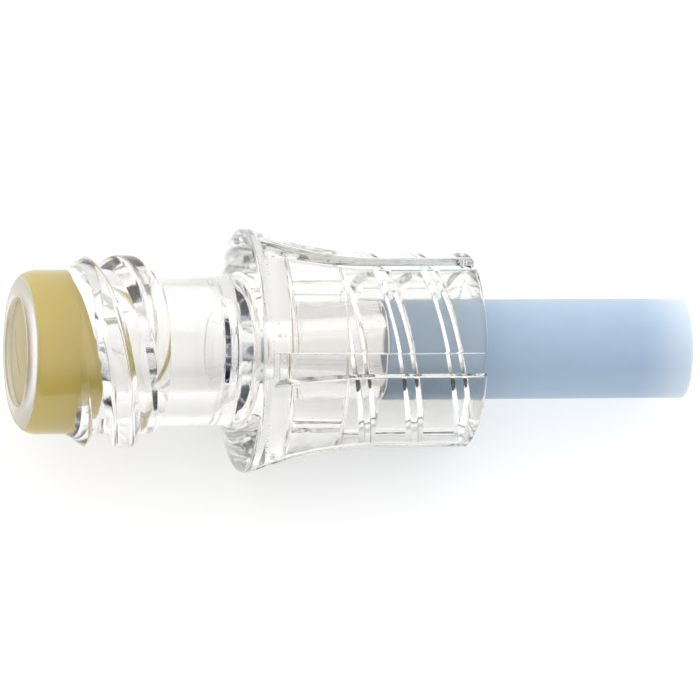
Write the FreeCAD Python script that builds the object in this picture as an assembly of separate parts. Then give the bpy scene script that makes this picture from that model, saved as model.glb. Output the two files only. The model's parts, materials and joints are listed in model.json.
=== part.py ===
"""Needle free connector: a clear moulded body with a slit septum, a male luer lock and a tip protector.

Every piece is built upright on its own axis: Z = 0 is the septum end's face and Z grows towards the
tip protector. The last section lays the connector down, as it comes to rest on a table: on the
flange's rim and on two pads at the collar's mouth, with +X towards the tip protector.
All sizes are in millimetres, and all angles in degrees.
"""
import FreeCAD, Part
import math
import os
from FreeCAD import Vector

# Septum cup: the septum end of the body
cup_r = 4.2
cup_wall = 0.6
cup_corner_round = 1.0
lip_opening_r = 2.8
lip_thickness = 0.5
septum_length = 3.4

# Two-start external thread on the cup, which takes a locking cannula
thread_pitch = 2.5
thread_starts = 2
access_crest_r = 4.9
access_crest_width = 1.0
access_flank_angle = 30.0
access_phase = 0.17
access_lead_in_start = 2.57
access_lead_in_angle = 34.0
threaded_end = 6.91
threaded_end_chamfer = 0.33

# Neck, up to the flange's front, and the fluid path through it
neck_end = 10.9
neck_r = 3.8
bore_r = 2.15
bore_past_neck = 0.75
bore_end_length = 1.35
bore_end_r = 1.7
lumen_r = 0.9
lumen_tip_r = 1.45

# Flange, the round stop between the neck and the collar: two cones that meet in a narrow rim
flange_length = 1.7
flange_r = 6.22
flange_rim_past_neck = 0.78
flange_rim_width = 0.42
flange_rim_chamfer_depth = 0.14
flange_rim_chamfer_width = 0.09

# Luer lock collar: wide finger pads with grooves between them, both flared towards the flange
collar_length = 10.9
pad_r = 4.97
pad_flare_length = 6.4
groove_floor_r = 4.57
groove_flare_length = 5.4
flare_radius = 20.0
groove_count = 5
groove_width = 1.18
groove_side_slope = 12.0
mouth_outer_chamfer = 0.18

# Collar's cavity and its two-start internal thread
cavity_depth = 10.4
cavity_relief_r = 3.45
lock_thread_length = 7.15
lock_root_r = 4.0
lock_crest_r = 3.5
lock_crest_width = 0.45
lock_flank_angle = 25.0
lock_phase = 0.23
mouth_inner_chamfer = 0.45

# Male luer, a cone with a 6 percent taper on a thicker foot
luer_foot_r = 2.45
luer_foot_length = 5.7
luer_tip_r = 2.0
luer_reach_past_mouth = 2.2
luer_taper = 0.06
luer_tip_chamfer = 0.12

# Slit in the septum
slit_length = 2.6
slit_width = 0.08
slit_depth = 0.35
septum_crown = 0.25
septum_recess = 0.3

# Tip protector, a length of soft tube pushed over the male luer
protector_r = 2.55
protector_length = 15.97
protector_edge_chamfer = 0.1

# Clearances
septum_clearance = 0.01
protector_seat_gap = 0.03
protector_grip_clearance = 0.02
ridge_sink = 0.25
pad_root_sink = 0.04

# Values worked out from the sizes above
lead = thread_pitch * thread_starts
chamber_r = cup_r - cup_wall
septum_front = lip_thickness
septum_rear = septum_front + septum_length
flange_rear = neck_end + flange_length
flange_rim_front = neck_end + flange_rim_past_neck
flange_rim_rear = flange_rim_front + flange_rim_width
collar_mouth = flange_rear + collar_length
groove_flare_end = flange_rear + groove_flare_length
pad_flare_end = flange_rear + pad_flare_length
cavity_floor = collar_mouth - cavity_depth
lock_thread_start = collar_mouth - lock_thread_length
luer_foot_end = cavity_floor + luer_foot_length
luer_tip = collar_mouth + luer_reach_past_mouth
bore_floor_at = neck_end + bore_past_neck
bore_end_start = bore_floor_at - bore_end_length
full_turn = 360.0
first_groove_turn = 0.75 * full_turn


def line(a, b):
    """A straight edge of a profile between two (radius, height) points."""
    return Part.makeLine(Vector(a[0], 0, a[1]), Vector(b[0], 0, b[1]))


def arc(a, middle, b):
    """A round edge of a profile through three (radius, height) points."""
    points = [Vector(p[0], 0, p[1]) for p in (a, middle, b)]
    return Part.Arc(*points).toShape()


def outline(points):
    """Straight edges through (radius, height) points, closed back to the first."""
    return [line(a, b) for a, b in zip(points, points[1:] + points[:1])]


def turned(edges):
    """The solid that a closed profile sweeps round the axis."""
    face = Part.Face(Part.Wire(Part.__sortEdges__(edges)))
    return face.revolve(Vector(0, 0, 0), Vector(0, 0, 1), full_turn)


def disc(radius, low, high):
    """A plain cylinder on the axis."""
    return Part.makeCylinder(radius, high - low, Vector(0, 0, low))


def flare(end_r, end_height, height):
    """Radius of a flared skin that is straight from end_height on and widens towards the flange."""
    reach = end_height - height
    return end_r + flare_radius - math.sqrt(flare_radius ** 2 - reach ** 2)


def flared_skin(end_r, end_height, low, high):
    """A solid with a flared outside and a chamfered mouth, from the axis out."""
    middle = (low + end_height) / 2
    chamfer = mouth_outer_chamfer
    edges = [
        line((0, low), (flare(end_r, end_height, low), low)),
        arc(
            (flare(end_r, end_height, low), low),
            (flare(end_r, end_height, middle), middle),
            (end_r, end_height),
        ),
        line((end_r, end_height), (end_r, high - chamfer)),
        line((end_r, high - chamfer), (end_r - chamfer, high)),
        line((end_r - chamfer, high), (0, high)),
        line((0, high), (0, low)),
    ]
    return turned(edges)


def ridges(root_r, crest_r, crest_width, flank_angle, phase, low, high):
    """Helical thread ridges, one for each start, from below low to above high.

    The crest passes the local X axis at phase, plus any whole number of pitches. A root radius
    larger than the crest radius gives an internal thread. The foot is sunk into the wall.
    """
    outward = 1 if crest_r > root_r else -1
    foot_r = root_r - outward * ridge_sink
    half_crest = crest_width / 2
    half_foot = half_crest + abs(crest_r - foot_r) * math.tan(math.radians(flank_angle))
    section = [(foot_r, -half_foot), (crest_r, -half_crest), (crest_r, half_crest), (foot_r, half_foot)]
    turns = math.ceil((high - low) / lead) + 1
    first = phase + lead * math.floor((low - phase) / lead) - thread_pitch
    made = []
    for start in range(thread_starts):
        height = first + start * thread_pitch
        wire = Part.Wire(outline(section))
        path = Part.makeHelix(lead, turns * lead, root_r)
        ridge = Part.Wire(path.Edges).makePipeShell([wire], True, True)
        ridge.translate(Vector(0, 0, height))
        made.append(ridge)
    return made


def body_outside():
    """The turned outside of the body: cup, neck, flange and the collar at its grooves' floor."""
    corner = cup_corner_round
    corner_drop = corner * (1 - math.sqrt(0.5))
    cup = turned([
        line((0, threaded_end), (0, 0)),
        line((0, 0), (cup_r - corner, 0)),
        arc((cup_r - corner, 0), (cup_r - corner_drop, corner_drop), (cup_r, corner)),
        line((cup_r, corner), (cup_r, threaded_end)),
        line((cup_r, threaded_end), (0, threaded_end)),
    ])
    cup_end = threaded_end + threaded_end_chamfer
    rim_inner_r = flange_r - flange_rim_chamfer_depth
    neck_and_flange = turned(outline([
        (0, threaded_end),
        (cup_r, threaded_end),
        (cup_r - threaded_end_chamfer, cup_end),
        (neck_r, cup_end),
        (neck_r, neck_end),
        (rim_inner_r, flange_rim_front - flange_rim_chamfer_width),
        (flange_r, flange_rim_front),
        (flange_r, flange_rim_rear),
        (rim_inner_r, flange_rim_rear + flange_rim_chamfer_width),
        (flare(groove_floor_r, groove_flare_end, flange_rear), flange_rear),
        (0, flange_rear),
    ]))
    collar = flared_skin(groove_floor_r, groove_flare_end, flange_rear, collar_mouth)
    return cup.fuse([neck_and_flange, collar]).removeSplitter()


def finger_pads():
    """The collar's pads: a second flared skin, parted by grooves that are wider at the top."""
    skin = flared_skin(pad_r, pad_flare_end, flange_rim_rear - pad_root_sink, collar_mouth)
    pads = skin.cut(disc(groove_floor_r - ridge_sink, 0, collar_mouth + 1))
    spread = math.tan(math.radians(groove_side_slope))
    low = groove_floor_r - 2 * ridge_sink
    high = 2 * flange_r
    low_half_width = groove_width / 2 - spread * (pad_r - low)
    high_half_width = groove_width / 2 + spread * (high - pad_r)
    for index in range(groove_count):
        groove = Part.Face(Part.makePolygon([
            Vector(low, -low_half_width, 0),
            Vector(high, -high_half_width, 0),
            Vector(high, high_half_width, 0),
            Vector(low, low_half_width, 0),
            Vector(low, -low_half_width, 0),
        ])).extrude(Vector(0, 0, collar_mouth + 1))
        groove.rotate(Vector(0, 0, 0), Vector(0, 0, 1), first_groove_turn + index * full_turn / groove_count)
        pads = pads.cut(groove)
    return pads.Solids


def access_thread():
    """The cup's thread: ridges trimmed by the lead-in cone and by the thread's sloped end."""
    rise = access_crest_r - cup_r
    inner = cup_r - 2 * ridge_sink
    outer = access_crest_r + ridge_sink
    cone_length = (outer - cup_r) / math.tan(math.radians(access_lead_in_angle))
    keep = turned(outline([
        (inner, access_lead_in_start),
        (cup_r, access_lead_in_start),
        (outer, access_lead_in_start + cone_length),
        (outer, threaded_end - rise - ridge_sink),
        (cup_r - threaded_end_chamfer / 2, threaded_end + threaded_end_chamfer / 2),
        (inner, threaded_end),
    ]))
    made = ridges(
        cup_r, access_crest_r, access_crest_width, access_flank_angle,
        access_phase, access_lead_in_start, threaded_end,
    )
    return [ridge.common(keep) for ridge in made]


def lock_thread():
    """The collar's internal thread: ridges trimmed to the threaded length of the cavity."""
    outer = lock_root_r + 2 * ridge_sink
    keep = turned(outline([
        (lock_crest_r - ridge_sink, lock_thread_start - ridge_sink),
        (outer, lock_thread_start - ridge_sink),
        (outer, collar_mouth - mouth_inner_chamfer),
        (lock_root_r, collar_mouth - mouth_inner_chamfer),
        (lock_crest_r - ridge_sink, collar_mouth - mouth_inner_chamfer - (lock_root_r - lock_crest_r) - ridge_sink),
    ]))
    made = ridges(
        lock_root_r, lock_crest_r, lock_crest_width, lock_flank_angle,
        lock_phase, lock_thread_start, collar_mouth,
    )
    return [ridge.common(keep) for ridge in made]


def luer_cone_r(height):
    """Radius of the male luer's cone at a height."""
    return luer_tip_r + (luer_tip - height) * luer_taper / 2


def male_luer():
    """The male luer with its thicker foot, rising from the floor of the collar's cavity."""
    chamfer_start = luer_tip - luer_tip_chamfer
    return turned(outline([
        (0, cavity_floor - ridge_sink),
        (luer_foot_r, cavity_floor - ridge_sink),
        (luer_foot_r, luer_foot_end),
        (luer_cone_r(luer_foot_end), luer_foot_end),
        (luer_cone_r(chamfer_start), chamfer_start),
        (luer_tip_r - luer_tip_chamfer, luer_tip),
        (0, luer_tip),
    ]))


def septum_chamber():
    """The hollow that holds the septum, under the rolled lip."""
    chamber = disc(chamber_r, septum_front, septum_rear)
    opening = disc(lip_opening_r, -1, septum_front + ridge_sink)
    return chamber.fuse(opening)


def fluid_path():
    """The bore from the septum to the luer's tip: wide bore, step, rounded floor and tapered lumen."""
    floor_drop = bore_end_r - lumen_r
    floor_start = bore_floor_at - floor_drop
    slant = math.sqrt(0.5)
    edges = [
        line((0, septum_rear - ridge_sink), (bore_r, septum_rear - ridge_sink)),
        line((bore_r, septum_rear - ridge_sink), (bore_r, bore_end_start)),
        line((bore_r, bore_end_start), (bore_end_r, bore_end_start + (bore_r - bore_end_r))),
        line((bore_end_r, bore_end_start + (bore_r - bore_end_r)), (bore_end_r, floor_start)),
        arc(
            (bore_end_r, floor_start),
            (lumen_r + floor_drop * slant, floor_start + floor_drop * slant),
            (lumen_r, bore_floor_at),
        ),
        line((lumen_r, bore_floor_at), (lumen_tip_r, luer_tip)),
        line((lumen_tip_r, luer_tip), (lumen_tip_r, luer_tip + 1)),
        line((lumen_tip_r, luer_tip + 1), (0, luer_tip + 1)),
        line((0, luer_tip + 1), (0, septum_rear - ridge_sink)),
    ]
    return turned(edges)


def collar_cavity():
    """The hollow between the collar and the male luer, open at the mouth."""
    chamfer_r = lock_root_r + mouth_inner_chamfer / 2
    return turned(outline([
        (0, cavity_floor),
        (cavity_relief_r, cavity_floor),
        (cavity_relief_r, lock_thread_start),
        (lock_root_r, lock_thread_start),
        (lock_root_r, collar_mouth - mouth_inner_chamfer),
        (chamfer_r, collar_mouth),
        (chamfer_r, luer_tip + 1),
        (0, luer_tip + 1),
    ]))


def connector_body():
    """The clear body, one moulding from the septum's lip to the luer's tip."""
    body = body_outside().fuse(finger_pads() + access_thread())
    body = body.cut(collar_cavity())
    body = body.fuse(lock_thread() + [male_luer()])
    return body.cut(septum_chamber().fuse(fluid_path()))


def septum():
    """The elastomer disc: a crowned face inside the lip, a shoulder under the lip and a slit."""
    side_r = chamber_r - septum_clearance
    crown_r = lip_opening_r - septum_clearance
    front = septum_front + septum_clearance
    crown_top = septum_recess - septum_crown
    face_radius = (crown_r ** 2 + septum_crown ** 2) / (2 * septum_crown)
    half_way = math.asin(crown_r / face_radius) / 2
    edges = [
        arc(
            (crown_r, septum_recess),
            (face_radius * math.sin(half_way), crown_top + face_radius * (1 - math.cos(half_way))),
            (0, crown_top),
        ),
        line((0, crown_top), (0, septum_rear)),
        line((0, septum_rear), (side_r, septum_rear)),
        line((side_r, septum_rear), (side_r, front)),
        line((side_r, front), (crown_r, front)),
        line((crown_r, front), (crown_r, septum_recess)),
    ]
    disc_shape = turned(edges)
    slit = Part.makeBox(slit_length, slit_width, slit_depth + 1)
    slit.translate(Vector(-slit_length / 2, -slit_width / 2, crown_top - 1))
    return disc_shape.cut(slit)


def tip_protector():
    """The soft tube: a bore that grips the luer's cone, then runs straight to the open end."""
    near = luer_foot_end + protector_seat_gap
    far = near + protector_length
    grip = protector_grip_clearance
    chamfer = protector_edge_chamfer
    return turned(outline([
        (luer_cone_r(near) + grip, near),
        (protector_r - chamfer, near),
        (protector_r, near + chamfer),
        (protector_r, far - chamfer),
        (protector_r - chamfer, far),
        (luer_tip_r + grip, far),
        (luer_tip_r + grip, luer_tip),
    ]))


def resting_lean():
    """The angle between the axis and the table: the line under the flange's rim and two pads.

    The first groove faces the table, and the pads beside it touch with their nearer edges. Both
    places are where a chamfer starts.
    """
    edge_turn = math.asin(groove_width / 2 / pad_r)
    run = (collar_mouth - mouth_outer_chamfer) - flange_rim_rear
    drop = flange_r - pad_r * math.cos(edge_turn)
    return math.degrees(math.atan2(drop, run))


def laid_down(shapes):
    """The pieces turned to +X, leaned until they touch the table, and set on Z = 0 about the origin."""
    # A third of a turn about the diagonal carries X to Y, Y to Z and Z to X.
    along_x = FreeCAD.Rotation(Vector(1, 1, 1), full_turn / 3)
    lean = FreeCAD.Rotation(Vector(0, 1, 0), resting_lean())
    turn = FreeCAD.Placement(Vector(0, 0, 0), lean.multiply(along_x))
    for shape in shapes:
        shape.transformShape(turn.toMatrix(), True)
    box = Part.makeCompound(shapes).optimalBoundingBox(False, False)
    shift = Vector(-box.Center.x, -box.Center.y, -box.ZMin)
    for shape in shapes:
        shape.translate(shift)
    return shift


pieces = {
    "connector_body": connector_body(),
    "septum": septum(),
    "tip_protector": tip_protector(),
}
shift = laid_down(list(pieces.values()))

os.makedirs("parts", exist_ok=True)
for name, shape in pieces.items():
    shape.exportStep(f"parts/{name}.step")
    box = shape.optimalBoundingBox(False, False)
    print(name, "solids", len(shape.Solids), "valid", shape.isValid(), "volume", round(shape.Volume, 3))
    print("  low", round(box.XMin, 3), round(box.YMin, 3), round(box.ZMin, 3))
    print("  high", round(box.XMax, 3), round(box.YMax, 3), round(box.ZMax, 3))
print("lean", round(resting_lean(), 4), "shift", [round(v, 4) for v in shift])
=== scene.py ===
import json
import math

import bmesh
import bpy
from mathutils import Matrix, Vector


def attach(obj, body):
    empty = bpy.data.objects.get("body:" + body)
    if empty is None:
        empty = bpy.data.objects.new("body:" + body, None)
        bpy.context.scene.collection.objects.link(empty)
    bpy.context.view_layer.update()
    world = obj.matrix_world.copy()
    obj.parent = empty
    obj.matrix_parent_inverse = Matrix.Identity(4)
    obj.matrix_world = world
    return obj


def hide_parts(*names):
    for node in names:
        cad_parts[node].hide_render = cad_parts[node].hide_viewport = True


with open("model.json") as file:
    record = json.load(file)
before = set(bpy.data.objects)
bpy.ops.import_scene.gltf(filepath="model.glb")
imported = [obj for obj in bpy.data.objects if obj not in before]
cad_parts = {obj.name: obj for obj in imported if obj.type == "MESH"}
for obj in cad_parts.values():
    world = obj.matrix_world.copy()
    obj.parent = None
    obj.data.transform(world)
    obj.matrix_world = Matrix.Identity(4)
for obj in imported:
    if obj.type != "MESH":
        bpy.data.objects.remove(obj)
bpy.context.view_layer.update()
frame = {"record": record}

# Clear body
# One injection moulding in clear polycarbonate, polished all over: septum cup, neck, flange, collar and male
# luer, each hollow. Two threads of two starts and five wide finger pads stand on its turned part. The lip,
# rolled over the septum with a warm tool, is a little frosted.

# The connector lies on its flange's rim and on two pads, with its own axis leaning down towards the tube.
# Each piece is shaped upright in millimetres, where height 0 is the septum end's face and +Z runs towards
# the tube's open end, and is then laid down once, in metres.
mm = 0.001
full_turn = 2 * math.pi
mounts = {mount["name"]: mount for mount in frame["record"]["mounts"]}
along = Vector(mounts["luer_lock"]["axis"]).normalized()
face_centre = Vector(mounts["septum_slit"]["pos_m"])
sideways = Vector((0, 1, 0))
turned_up = along.cross(sideways)
lay_down = (
    Matrix.Translation(face_centre)
    @ Matrix((sideways, turned_up, along)).transposed().to_4x4()
    @ Matrix.Scale(mm, 4)
)

cup_r = 4.2
lip_r = 2.8
lip_thickness = 0.5
chamber_r = 3.6
chamber_end = 3.9
threaded_end = 6.91
cup_chamfer = 0.33
neck_start = 7.24
neck_r = 3.8
neck_end = 10.9
rim_front = 11.68
rim_rear = 12.1
rim_bevel_r = 0.14
rim_bevel_height = 0.09
flange_rear = 12.6
flange_r = 6.22
groove_floor_r = 4.57
groove_flare_start = flange_rear + 0.35
groove_flare_end = 18.0
flare_radius = 20.0
flare_steps = 12
collar_mouth = 23.5
mouth_chamfer_r = 0.22
mouth_chamfer_depth = 0.45
cavity_floor = 13.1
relief_r = 3.45
lock_start = 16.35
lock_end = collar_mouth - mouth_chamfer_depth
lock_root_r = 4.0
luer_foot_r = 2.45
luer_foot_end = 18.8
luer_tip = 25.7
luer_tip_r = 2.0
luer_taper = 0.03
lumen_r = 0.9
lumen_tip_r = 1.45
bore_r = 2.15
bore_step = 10.3
dome_r = 1.7
dome_start = 10.85
dome_end = 11.65
dome_steps = 16

cup_round = 1.0
lip_round = 0.18
luer_tip_round = 0.18
cavity_round = 0.35
soft_round = 0.2
flange_root_round = 0.15
step_round = 0.12
edge_round = 0.1
fine_round = 0.08
neck_corner_round = 0.05

body_steps = 240
ring_spacing = 0.3
ring_gap = 0.2
mouth_ring_gap = 0.3


def luer_r(height):
    """Radius of the male luer's cone."""
    return luer_tip_r + (luer_tip - height) * luer_taper


def flare(end_r, end_height, height):
    """Radius of a skin that is straight from end_height on and widens towards the flange."""
    reach = max(end_height - height, 0)
    return end_r + flare_radius - math.sqrt(flare_radius ** 2 - reach ** 2)


def flare_corners(end_r, start, end_height):
    """Unrounded corners along a flare, from start to where it runs straight."""
    heights = [start + (end_height - start) * step / flare_steps for step in range(flare_steps + 1)]
    return [(flare(end_r, end_height, height), height, 0) for height in heights]


def rings(radius, start, end):
    """Corners along a straight wall, close enough together that joins to it stay clean."""
    count = max(int(abs(end - start) / ring_spacing), 1)
    return [(radius, start + (end - start) * step / count, 0) for step in range(1, count)]


def dome_corners():
    """Unrounded corners of the bore's floor, a quarter of an ellipse from the lumen out to its wall."""
    angles = [step / dome_steps * math.pi / 2 for step in range(1, dome_steps)]
    return [
        (
            lumen_r + (dome_r - lumen_r) * math.sin(angle),
            dome_start + (dome_end - dome_start) * math.cos(angle),
            0,
        )
        for angle in angles
    ]


def outline(corners, segments=5):
    """A closed outline in the XZ plane; each corner is its radius, its height and its rounding."""
    mesh = bmesh.new()
    verts = [mesh.verts.new((radius, 0, height)) for radius, height, _ in corners]
    for start, end in zip(verts, verts[1:] + verts[:1]):
        mesh.edges.new((start, end))
    for vert, (_, _, rounding) in zip(verts, corners):
        if rounding:
            bmesh.ops.bevel(
                mesh, geom=[vert], offset=rounding, offset_type="OFFSET", segments=segments,
                profile=0.5, affect="VERTICES", material=-1,
            )
    return mesh


def sweep(mesh, angle, steps, rise=0, closed=False):
    """Spins an outline round the axis, climbing by rise at each step."""
    bmesh.ops.spin(
        mesh, geom=mesh.verts[:] + mesh.edges[:], cent=(0, 0, 0), axis=(0, 0, 1), dvec=(0, 0, rise),
        angle=angle, steps=steps, use_merge=closed, use_duplicate=False,
    )


def turn(mesh, steps):
    """Spins an outline all the way round the axis and closes its seam and poles."""
    seam_gap = 0.00001
    sweep(mesh, full_turn, steps, closed=True)
    bmesh.ops.remove_doubles(mesh, verts=mesh.verts[:], dist=seam_gap)
    bmesh.ops.recalc_face_normals(mesh, faces=mesh.faces[:])
    return mesh


def swing(mesh, angle):
    """Turns a mesh round the axis."""
    bmesh.ops.rotate(mesh, verts=mesh.verts[:], cent=(0, 0, 0), matrix=Matrix.Rotation(angle, 3, "Z"))


def cap(mesh):
    """Closes the open ends of a swept outline."""
    rims = [edge for edge in mesh.edges if edge.is_boundary]
    bmesh.ops.holes_fill(mesh, edges=rims, sides=0)
    bmesh.ops.recalc_face_normals(mesh, faces=mesh.faces[:])


def gather(whole, part):
    """Adds one bmesh to another and frees it."""
    data = bpy.data.meshes.new("part")
    part.to_mesh(data)
    part.free()
    whole.from_mesh(data)
    bpy.data.meshes.remove(data)


def piece(name, mesh):
    """Makes a bmesh an object in the scene."""
    data = bpy.data.meshes.new(name)
    mesh.to_mesh(data)
    mesh.free()
    made = bpy.data.objects.new(name, data)
    bpy.context.scene.collection.objects.link(made)
    return made


def combine(base, other, operation):
    """Joins, cuts or trims base with other, which is used up."""
    modifier = base.modifiers.new(operation, "BOOLEAN")
    modifier.object = other
    modifier.operation = operation
    modifier.solver = "MANIFOLD"
    graph = bpy.context.evaluated_depsgraph_get()
    result = bpy.data.meshes.new_from_object(base.evaluated_get(graph))
    base.modifiers.clear()
    base.data = result
    bpy.data.objects.remove(other)
    return base


def clean(made):
    """Merges the slivers that joins leave behind and splits what is left into triangles."""
    sliver = 0.0001
    mesh = bmesh.new()
    mesh.from_mesh(made.data)
    bmesh.ops.remove_doubles(mesh, verts=mesh.verts[:], dist=sliver)
    bmesh.ops.dissolve_degenerate(mesh, edges=mesh.edges[:], dist=sliver)
    bmesh.ops.triangulate(mesh, faces=mesh.faces[:])
    mesh.to_mesh(made.data)
    mesh.free()


def settle(made, sharp_angle):
    """Lays a finished piece down and smooths its skin between edges sharper than the angle, in degrees."""
    made.data.transform(lay_down)
    made.data.shade_smooth()
    made.data.set_sharp_from_angle(angle=math.radians(sharp_angle))


turned_corners = [
    (lip_r, 0, lip_round),
    (cup_r, 0, cup_round),
    *rings(cup_r, cup_round + ring_gap, threaded_end - ring_gap),
    (cup_r, threaded_end, edge_round),
    (cup_r - cup_chamfer, neck_start, 0),
    (neck_r, neck_start, neck_corner_round),
    (neck_r, neck_end, soft_round),
    (flange_r - rim_bevel_r, rim_front - rim_bevel_height, fine_round),
    (flange_r, rim_front, fine_round),
    (flange_r, rim_rear, fine_round),
    (flange_r - rim_bevel_r, rim_rear + rim_bevel_height, fine_round),
    (flare(groove_floor_r, groove_flare_end, flange_rear), flange_rear, flange_root_round),
    *flare_corners(groove_floor_r, groove_flare_start, groove_flare_end),
    *rings(groove_floor_r, groove_flare_end, collar_mouth - mouth_ring_gap),
    (groove_floor_r, collar_mouth, soft_round),
    (lock_root_r + mouth_chamfer_r, collar_mouth, 0),
    (lock_root_r, lock_end, 0),
    *rings(lock_root_r, lock_end, lock_start + ring_gap),
    (lock_root_r, lock_start, step_round),
    (relief_r, lock_start, step_round),
    (relief_r, cavity_floor, cavity_round),
    (luer_foot_r, cavity_floor, cavity_round),
    (luer_foot_r, luer_foot_end, edge_round),
    (luer_r(luer_foot_end), luer_foot_end, edge_round),
    (luer_tip_r, luer_tip, luer_tip_round),
    (lumen_tip_r, luer_tip, edge_round),
    (lumen_r, dome_end, 0),
    *dome_corners(),
    (dome_r, dome_start, 0),
    (dome_r, bore_step + bore_r - dome_r, edge_round),
    (bore_r, bore_step, step_round),
    (bore_r, chamber_end, edge_round),
    (chamber_r, chamber_end, fine_round),
    (chamber_r, lip_thickness, edge_round),
    (lip_r, lip_thickness, lip_round),
]
body = piece("clear_body", turn(outline(turned_corners), body_steps))

# Both threads are right handed pairs of ridges, sunk a little into the wall that carries them. A crest
# height is where one of them crosses the +Y side. A turned envelope gives a thread its lead-ins: it cuts
# off the rest of the ridges, and stands clear of their crests and roots elsewhere.
thread_lead = 5.0
thread_starts = 2
thread_turns = 3
thread_steps = 160
thread_sunk = 0.25
thread_margin = 0.25


def thread(name, section, first_height, envelope_corners):
    """Two helical ridges with the given section, half a turn apart, trimmed by a turned envelope."""
    both = bmesh.new()
    for start in range(thread_starts):
        ridge = outline(section, segments=4)
        sweep(ridge, thread_turns * full_turn, thread_turns * thread_steps, rise=thread_lead / thread_steps)
        cap(ridge)
        height = first_height + start * thread_lead / thread_starts
        bmesh.ops.translate(ridge, verts=ridge.verts[:], vec=(0, 0, height))
        gather(both, ridge)
    ridges = piece(name, both)
    envelope = piece("envelope", turn(outline(envelope_corners), body_steps))
    return combine(ridges, envelope, "INTERSECT")


access_start = 2.57
access_crest_r = 4.9
access_crest_half = 0.5
access_crest_round = 0.22
access_root_half = 1.04
access_crest_height = 0.17
access_lead_in = math.radians(34)
access_reach = 0.95
access_depth = 0.5
access_section = [
    (cup_r - thread_sunk, -access_root_half, 0),
    (access_crest_r, -access_crest_half, access_crest_round),
    (access_crest_r, access_crest_half, access_crest_round),
    (cup_r - thread_sunk, access_root_half, 0),
]
access_envelope = [
    (cup_r - access_depth, access_start, 0),
    (cup_r, access_start, 0),
    (cup_r + access_reach, access_start + access_reach / math.tan(access_lead_in), 0),
    (cup_r + access_reach, threaded_end - access_reach, 0),
    (cup_r - cup_chamfer / 2, threaded_end + cup_chamfer / 2, 0),
    (cup_r - access_depth, threaded_end, 0),
]
access_ridges = thread("access_ridges", access_section, access_crest_height - thread_lead, access_envelope)
body = combine(body, access_ridges, "UNION")

lock_crest_r = 3.5
lock_crest_half = 0.225
lock_crest_round = 0.1
lock_root_half = 0.575
lock_crest_height = 0.23
lock_inner_r = lock_crest_r - thread_margin
lock_reach = 0.4
lock_outer_r = lock_root_r + lock_reach
lock_section = [
    (lock_root_r + thread_sunk, -lock_root_half, 0),
    (lock_crest_r, -lock_crest_half, lock_crest_round),
    (lock_crest_r, lock_crest_half, lock_crest_round),
    (lock_root_r + thread_sunk, lock_root_half, 0),
]
lock_envelope = [
    (lock_inner_r, lock_start - thread_margin, 0),
    (lock_outer_r, lock_start - thread_margin, 0),
    (lock_outer_r, lock_end, 0),
    (lock_root_r, lock_end, 0),
    (lock_inner_r, lock_end - (lock_root_r - lock_inner_r), 0),
]
lock_ridges = thread("lock_ridges", lock_section, lock_crest_height + 2 * thread_lead, lock_envelope)
body = combine(body, lock_ridges, "UNION")

# The pads flare into the flange as the groove floors do. Narrow grooves part them, and one faces the table.
pad_count = 5
pad_step = full_turn / pad_count
pad_r = 4.97
pad_sunk = 0.15
pad_start = rim_rear - 0.04
pad_flare_start = rim_rear + 0.3
pad_flare_end = 19.0
pad_mouth_round = 0.25
pad_edge_round = 0.09
pad_steps = 60
groove_half_width = 0.59
groove_slope = math.radians(12)
half_sweep = pad_step / 2 - 0.02
towards_table = 0.75 * full_turn
pad_corners = [
    (groove_floor_r - pad_sunk, pad_start, 0),
    (flare(pad_r, pad_flare_end, pad_start), pad_start, 0),
    *flare_corners(pad_r, pad_flare_start, pad_flare_end),
    (pad_r, collar_mouth, pad_mouth_round),
    (groove_floor_r - pad_sunk, collar_mouth, 0),
]


def is_groove_edge(edge):
    """True for the sharp edges between a pad's skin and a groove, which run along the pad."""
    sharp = 0.6
    skin_slack = 0.01
    least_climb = 0.05
    first, second = (vert.co for vert in edge.verts)
    return (
        edge.calc_face_angle(0) > sharp
        and first.xy.length > flare(pad_r, pad_flare_end, first.z) - skin_slack
        and abs(first.z - second.z) > least_climb
    )


pads = bmesh.new()
for index in range(pad_count):
    pad = outline(pad_corners)
    swing(pad, -half_sweep)
    sweep(pad, 2 * half_sweep, pad_steps)
    cap(pad)
    for hand in (1, -1):
        to_groove = Matrix.Rotation(hand * pad_step / 2, 3, "Z")
        bmesh.ops.bisect_plane(
            pad, geom=pad.verts[:] + pad.edges[:] + pad.faces[:], dist=0.000001,
            plane_co=to_groove @ Vector((pad_r, -hand * groove_half_width, 0)),
            plane_no=to_groove @ Vector((math.sin(groove_slope), hand * math.cos(groove_slope), 0)),
            clear_outer=True,
        )
        cap(pad)
    groove_edges = [edge for edge in pad.edges if is_groove_edge(edge)]
    bmesh.ops.bevel(
        pad, geom=groove_edges, offset=pad_edge_round, offset_type="OFFSET", segments=3, profile=0.5,
        affect="EDGES", material=-1,
    )
    swing(pad, towards_table + (index + 0.5) * pad_step)
    gather(pads, pad)
body = combine(body, piece("pads", pads), "UNION")
clean(body)
settle(body, sharp_angle=28)

# The flow marks of the moulding are very shallow, and the frost ends soon behind the lip.
clear_tint = (0.96, 0.957, 0.944, 1)
clear_roughness = 0.06
frost_roughness = 0.38
frost_end = 0.9
flow_scale = 420
flow_strength = 0.25
flow_height = 0.02


def new_material(name, values):
    """A material with these values on its shader's own sockets."""
    made = bpy.data.materials.new(name)
    made.use_nodes = True
    for socket, value in values.items():
        made.node_tree.nodes["Principled BSDF"].inputs[socket].default_value = value
    return made


def lead_to(material, socket, pattern):
    """Leads a pattern into a socket of the material's shader."""
    tree = material.node_tree
    tree.links.new(pattern, tree.nodes["Principled BSDF"].inputs[socket])


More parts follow.
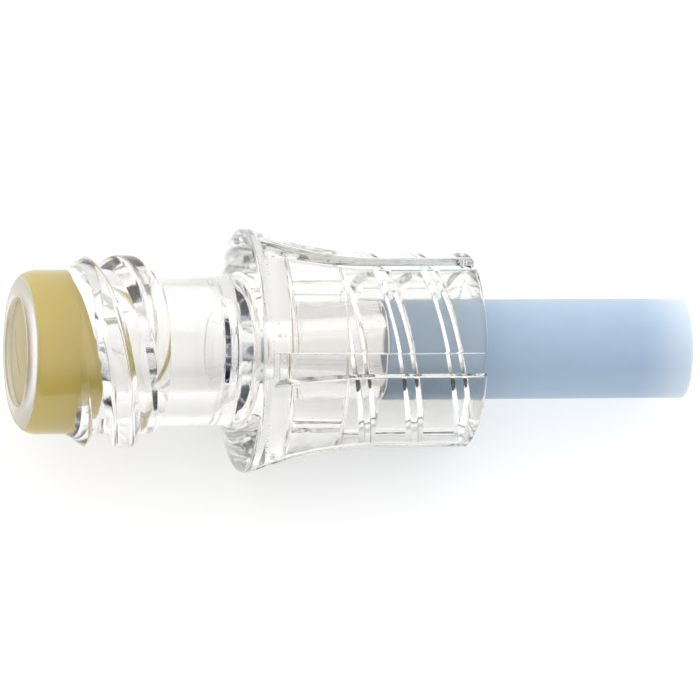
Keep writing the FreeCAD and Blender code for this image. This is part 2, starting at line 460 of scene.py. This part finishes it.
def cloud(material, scale, detail):
    """Noise on the piece's own coordinates."""
    tree = material.node_tree
    place = tree.nodes.new("ShaderNodeTexCoord")
    noise = tree.nodes.new("ShaderNodeTexNoise")
    noise.inputs["Scale"].default_value = scale
    noise.inputs["Detail"].default_value = detail
    tree.links.new(place.outputs["Object"], noise.inputs["Vector"])
    return noise.outputs["Fac"]


def ramp(tree, coordinates, direction, start, end, low, high):
    """A value that goes softly from low to high between two places along a direction."""
    run = tree.nodes.new("ShaderNodeVectorMath")
    run.operation = "DOT_PRODUCT"
    run.inputs[1].default_value = direction
    ease = tree.nodes.new("ShaderNodeMapRange")
    ease.interpolation_type = "SMOOTHSTEP"
    ease.inputs["From Min"].default_value = start
    ease.inputs["From Max"].default_value = end
    ease.inputs["To Min"].default_value = low
    ease.inputs["To Max"].default_value = high
    tree.links.new(coordinates, run.inputs[0])
    tree.links.new(run.outputs["Value"], ease.inputs["Value"])
    return ease.outputs["Result"]


def fade(material, start, end, low=0, high=1):
    """A value that goes softly from low to high between two of the upright heights."""
    tree = material.node_tree
    place = tree.nodes.new("ShaderNodeTexCoord")
    face = face_centre.dot(along)
    return ramp(tree, place.outputs["Object"], along, face + start * mm, face + end * mm, low, high)


clear = new_material("clear_polycarbonate", {
    "Base Color": clear_tint,
    "Roughness": clear_roughness,
    "IOR": 1.57,
    "Transmission Weight": 1,
})
lead_to(clear, "Roughness", fade(clear, 0, frost_end, frost_roughness, clear_roughness))
flow = clear.node_tree.nodes.new("ShaderNodeBump")
flow.inputs["Strength"].default_value = flow_strength
flow.inputs["Distance"].default_value = flow_height * mm
clear.node_tree.links.new(cloud(clear, flow_scale, detail=2), flow.inputs["Height"])
lead_to(clear, "Normal", flow.outputs["Normal"])
body.data.materials.clear()
body.data.materials.append(clear)
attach(body, "root")
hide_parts("connector_body")

# Septum
# A moulded disc of pale yellow elastomer, pushed into the cup and held by its rolled lip. Its face is
# crowned, duller than its side, and has one short slit for the cannula.
septum_side_r = chamber_r + 0.01
septum_relief_r = chamber_r - 0.1
septum_relief_start = 2.7
septum_crown_r = lip_r - 0.02
septum_front = lip_thickness + 0.02
septum_rear = chamber_end - 0.02
septum_recess = 0.3
septum_crown = 0.25
septum_crown_steps = 10
septum_neck_round = 0.06
septum_front_round = 0.12
septum_relief_round = 0.04
septum_rear_round = 0.1
slit_length = 2.6
slit_width = 0.08
slit_end_round = 0.035
slit_bottom = 0.4
slit_tool_height = 1.0
small_steps = 160


def crown_corners():
    """Unrounded corners of the septum's face, a shallow parabola that is highest at the axis."""
    shares = [step / septum_crown_steps for step in range(septum_crown_steps + 1)]
    return [
        (septum_crown_r * share, septum_recess - septum_crown * (1 - share ** 2), 0) for share in shares
    ]


septum_corners = [
    *crown_corners(),
    (septum_crown_r, septum_front, septum_neck_round),
    (septum_side_r, septum_front, septum_front_round),
    (septum_side_r, septum_relief_start, septum_relief_round),
    (septum_relief_r, septum_relief_start, septum_relief_round),
    (septum_relief_r, septum_rear, septum_rear_round),
    (0, septum_rear, 0),
]
septum = piece("septum_disc", turn(outline(septum_corners), small_steps))
slit_tool = bmesh.new()
bmesh.ops.create_cube(slit_tool, size=1)
bmesh.ops.scale(slit_tool, verts=slit_tool.verts[:], vec=(slit_length, slit_width, slit_tool_height))
upright_edges = [
    edge for edge in slit_tool.edges
    if abs(edge.verts[0].co.z - edge.verts[1].co.z) > slit_tool_height / 2
]
bmesh.ops.bevel(
    slit_tool, geom=upright_edges, offset=slit_end_round, offset_type="OFFSET", segments=3, profile=0.5,
    affect="EDGES", material=-1,
)
bmesh.ops.translate(slit_tool, verts=slit_tool.verts[:], vec=(0, 0, slit_bottom - slit_tool_height / 2))
septum = combine(septum, piece("slit_tool", slit_tool), "DIFFERENCE")
clean(septum)
settle(septum, sharp_angle=35)

septum_tones = ((0.88, 0.68, 0.17, 1), (0.92, 0.75, 0.23, 1))
septum_face_tone = (0.46, 0.375, 0.18, 1)
septum_face_start = 0.3
septum_face_end = 0.6
septum_cloud_scale = 700


def blend_tones(material, factor, first, second):
    """A colour between two others, each of them plain or a pattern."""
    tree = material.node_tree
    mix = tree.nodes.new("ShaderNodeMix")
    mix.data_type = "RGBA"
    tree.links.new(factor, mix.inputs["Factor"])
    for socket, tone in (("A", first), ("B", second)):
        if isinstance(tone, tuple):
            mix.inputs[socket].default_value = tone
        else:
            tree.links.new(tone, mix.inputs[socket])
    return mix.outputs["Result"]


elastomer = new_material("septum_elastomer", {
    "Roughness": 0.42,
    "Subsurface Weight": 0.25,
    "Subsurface Radius": (1.0, 0.8, 0.4),
    "Subsurface Scale": 0.6 * mm,
})
septum_side_tone = blend_tones(elastomer, cloud(elastomer, septum_cloud_scale, detail=4), *septum_tones)
behind_face = fade(elastomer, septum_face_start, septum_face_end)
septum_tone = blend_tones(elastomer, behind_face, septum_face_tone, septum_side_tone)
lead_to(elastomer, "Base Color", septum_tone)
septum.data.materials.clear()
septum.data.materials.append(elastomer)
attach(septum, "root")
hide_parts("septum")

# Tip protector
# A length of soft, milky, pale blue tube, cut square at both ends and pushed over the male luer until it
# stops on the luer's thicker foot. A paler colour is painted towards its open end. It is painted light,
# standing in for the light that comes through its wall there.
protector_r = 2.55
protector_start = luer_foot_end + 0.03
protector_end = 34.8
protector_inner_round = 0.08
protector_outer_round = 0.12
cone_clearance = 0.02
protector_corners = [
    (luer_r(protector_start) + cone_clearance, protector_start, protector_inner_round),
    (protector_r, protector_start, protector_outer_round),
    (protector_r, protector_end, protector_outer_round),
    (luer_tip_r + cone_clearance, protector_end, protector_inner_round),
    (luer_tip_r + cone_clearance, luer_tip, 0),
]
protector = piece("protector_tube", turn(outline(protector_corners), small_steps))
settle(protector, sharp_angle=35)

tube_tones = ((0.42, 0.55, 0.69, 1), (0.46, 0.59, 0.73, 1))
# Painted light: a pale colour blended in near the open end, standing in for light that comes through the
# tube's wall.
tube_end_painted_light = (0.86, 0.90, 0.94, 1)
painted_light_share = 0.55
painted_light_length = 2.8
tube_cloud_scale = 900
tube = new_material("protector_tube", {
    "Roughness": 0.5,
    "Subsurface Weight": 1,
    "Subsurface Radius": (0.7, 0.85, 1.0),
    "Subsurface Scale": 0.6 * mm,
})
tube_tone = blend_tones(tube, cloud(tube, tube_cloud_scale, detail=4), *tube_tones)
# Painted light: the pale colour fades in over the last few millimetres of the tube, towards its open end.
painted_light_near_end = fade(tube, protector_end - painted_light_length, protector_end, high=painted_light_share)
lead_to(tube, "Base Color", blend_tones(tube, painted_light_near_end, tube_tone, tube_end_painted_light))
protector.data.materials.clear()
protector.data.materials.append(tube)
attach(protector, "root")
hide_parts("tip_protector")

# Floor and light
# A plain pale table that glows a little, as a light table does, so that the shadow stays faint. The sky is
# soft white light, dark only low down on the near side, and that darkens the clear plastic's edges.
table_reach = 1.5
table_tone = (0.65, 0.65, 0.65, 1)
table_glow = 0.48
white = (1, 1, 1, 1)
floor_mesh = bmesh.new()
bmesh.ops.create_grid(floor_mesh, x_segments=1, y_segments=1, size=table_reach)
floor = piece("floor", floor_mesh)
floor.data.materials.append(new_material("table", {
    "Base Color": table_tone,
    "Roughness": 0.9,
    "Specular IOR Level": 0,
    "Emission Color": white,
    "Emission Strength": table_glow,
}))

sky_lean = (0, 0.5, 1)
sky_dark_at = -0.2
sky_bright_at = 0.45
sky_darkest = 0.08
sky_brightest = 1.2
world = bpy.data.worlds.new("soft_light")
bpy.context.scene.world = world
world.use_nodes = True
sky = world.node_tree
sky_place = sky.nodes.new("ShaderNodeTexCoord")
sky_glow = ramp(
    sky, sky_place.outputs["Generated"], sky_lean, sky_dark_at, sky_bright_at, sky_darkest, sky_brightest,
)
sky.links.new(sky_glow, sky.nodes["Background"].inputs["Strength"])
sky.nodes["Background"].inputs["Color"].default_value = white

# Camera
# It looks down on the table from far off, with the septum end a little nearer than the tube. Light may
# cross many clear walls and bounce inside them, or the flange and the threads would turn dark.
camera_height = math.radians(63.1)
camera_turn = math.radians(14.6)
camera_roll = math.radians(0.34)
camera_distance = 0.8
picture_width = 0.0357
aim_height = 17.38
walls_crossed = 32
bounces_inside = 8
to_camera = Vector((
    -math.sin(camera_turn) * math.cos(camera_height),
    -math.cos(camera_turn) * math.cos(camera_height),
    math.sin(camera_height),
))
flat = (along - along.dot(to_camera) * to_camera).normalized()
raised = to_camera.cross(flat)
right = math.cos(camera_roll) * flat - math.sin(camera_roll) * raised
upward = to_camera.cross(right)
aim = face_centre + along * aim_height * mm
lens = bpy.data.cameras.new("camera")
lens.lens = lens.sensor_width * camera_distance / picture_width
lens.clip_start = 0.01
camera = bpy.data.objects.new("camera", lens)
camera.matrix_world = (
    Matrix.Translation(aim + to_camera * camera_distance)
    @ Matrix((right, upward, to_camera)).transposed().to_4x4()
)
scene = bpy.context.scene
scene.collection.objects.link(camera)
scene.camera = camera
scene.view_settings.view_transform = "Standard"
scene.cycles.max_bounces = walls_crossed
scene.cycles.transmission_bounces = walls_crossed
scene.cycles.transparent_max_bounces = walls_crossed
scene.cycles.glossy_bounces = bounces_inside
scene.cycles.caustics_refractive = True
scene.cycles.caustics_reflective = True
scene.cycles.use_denoising = True
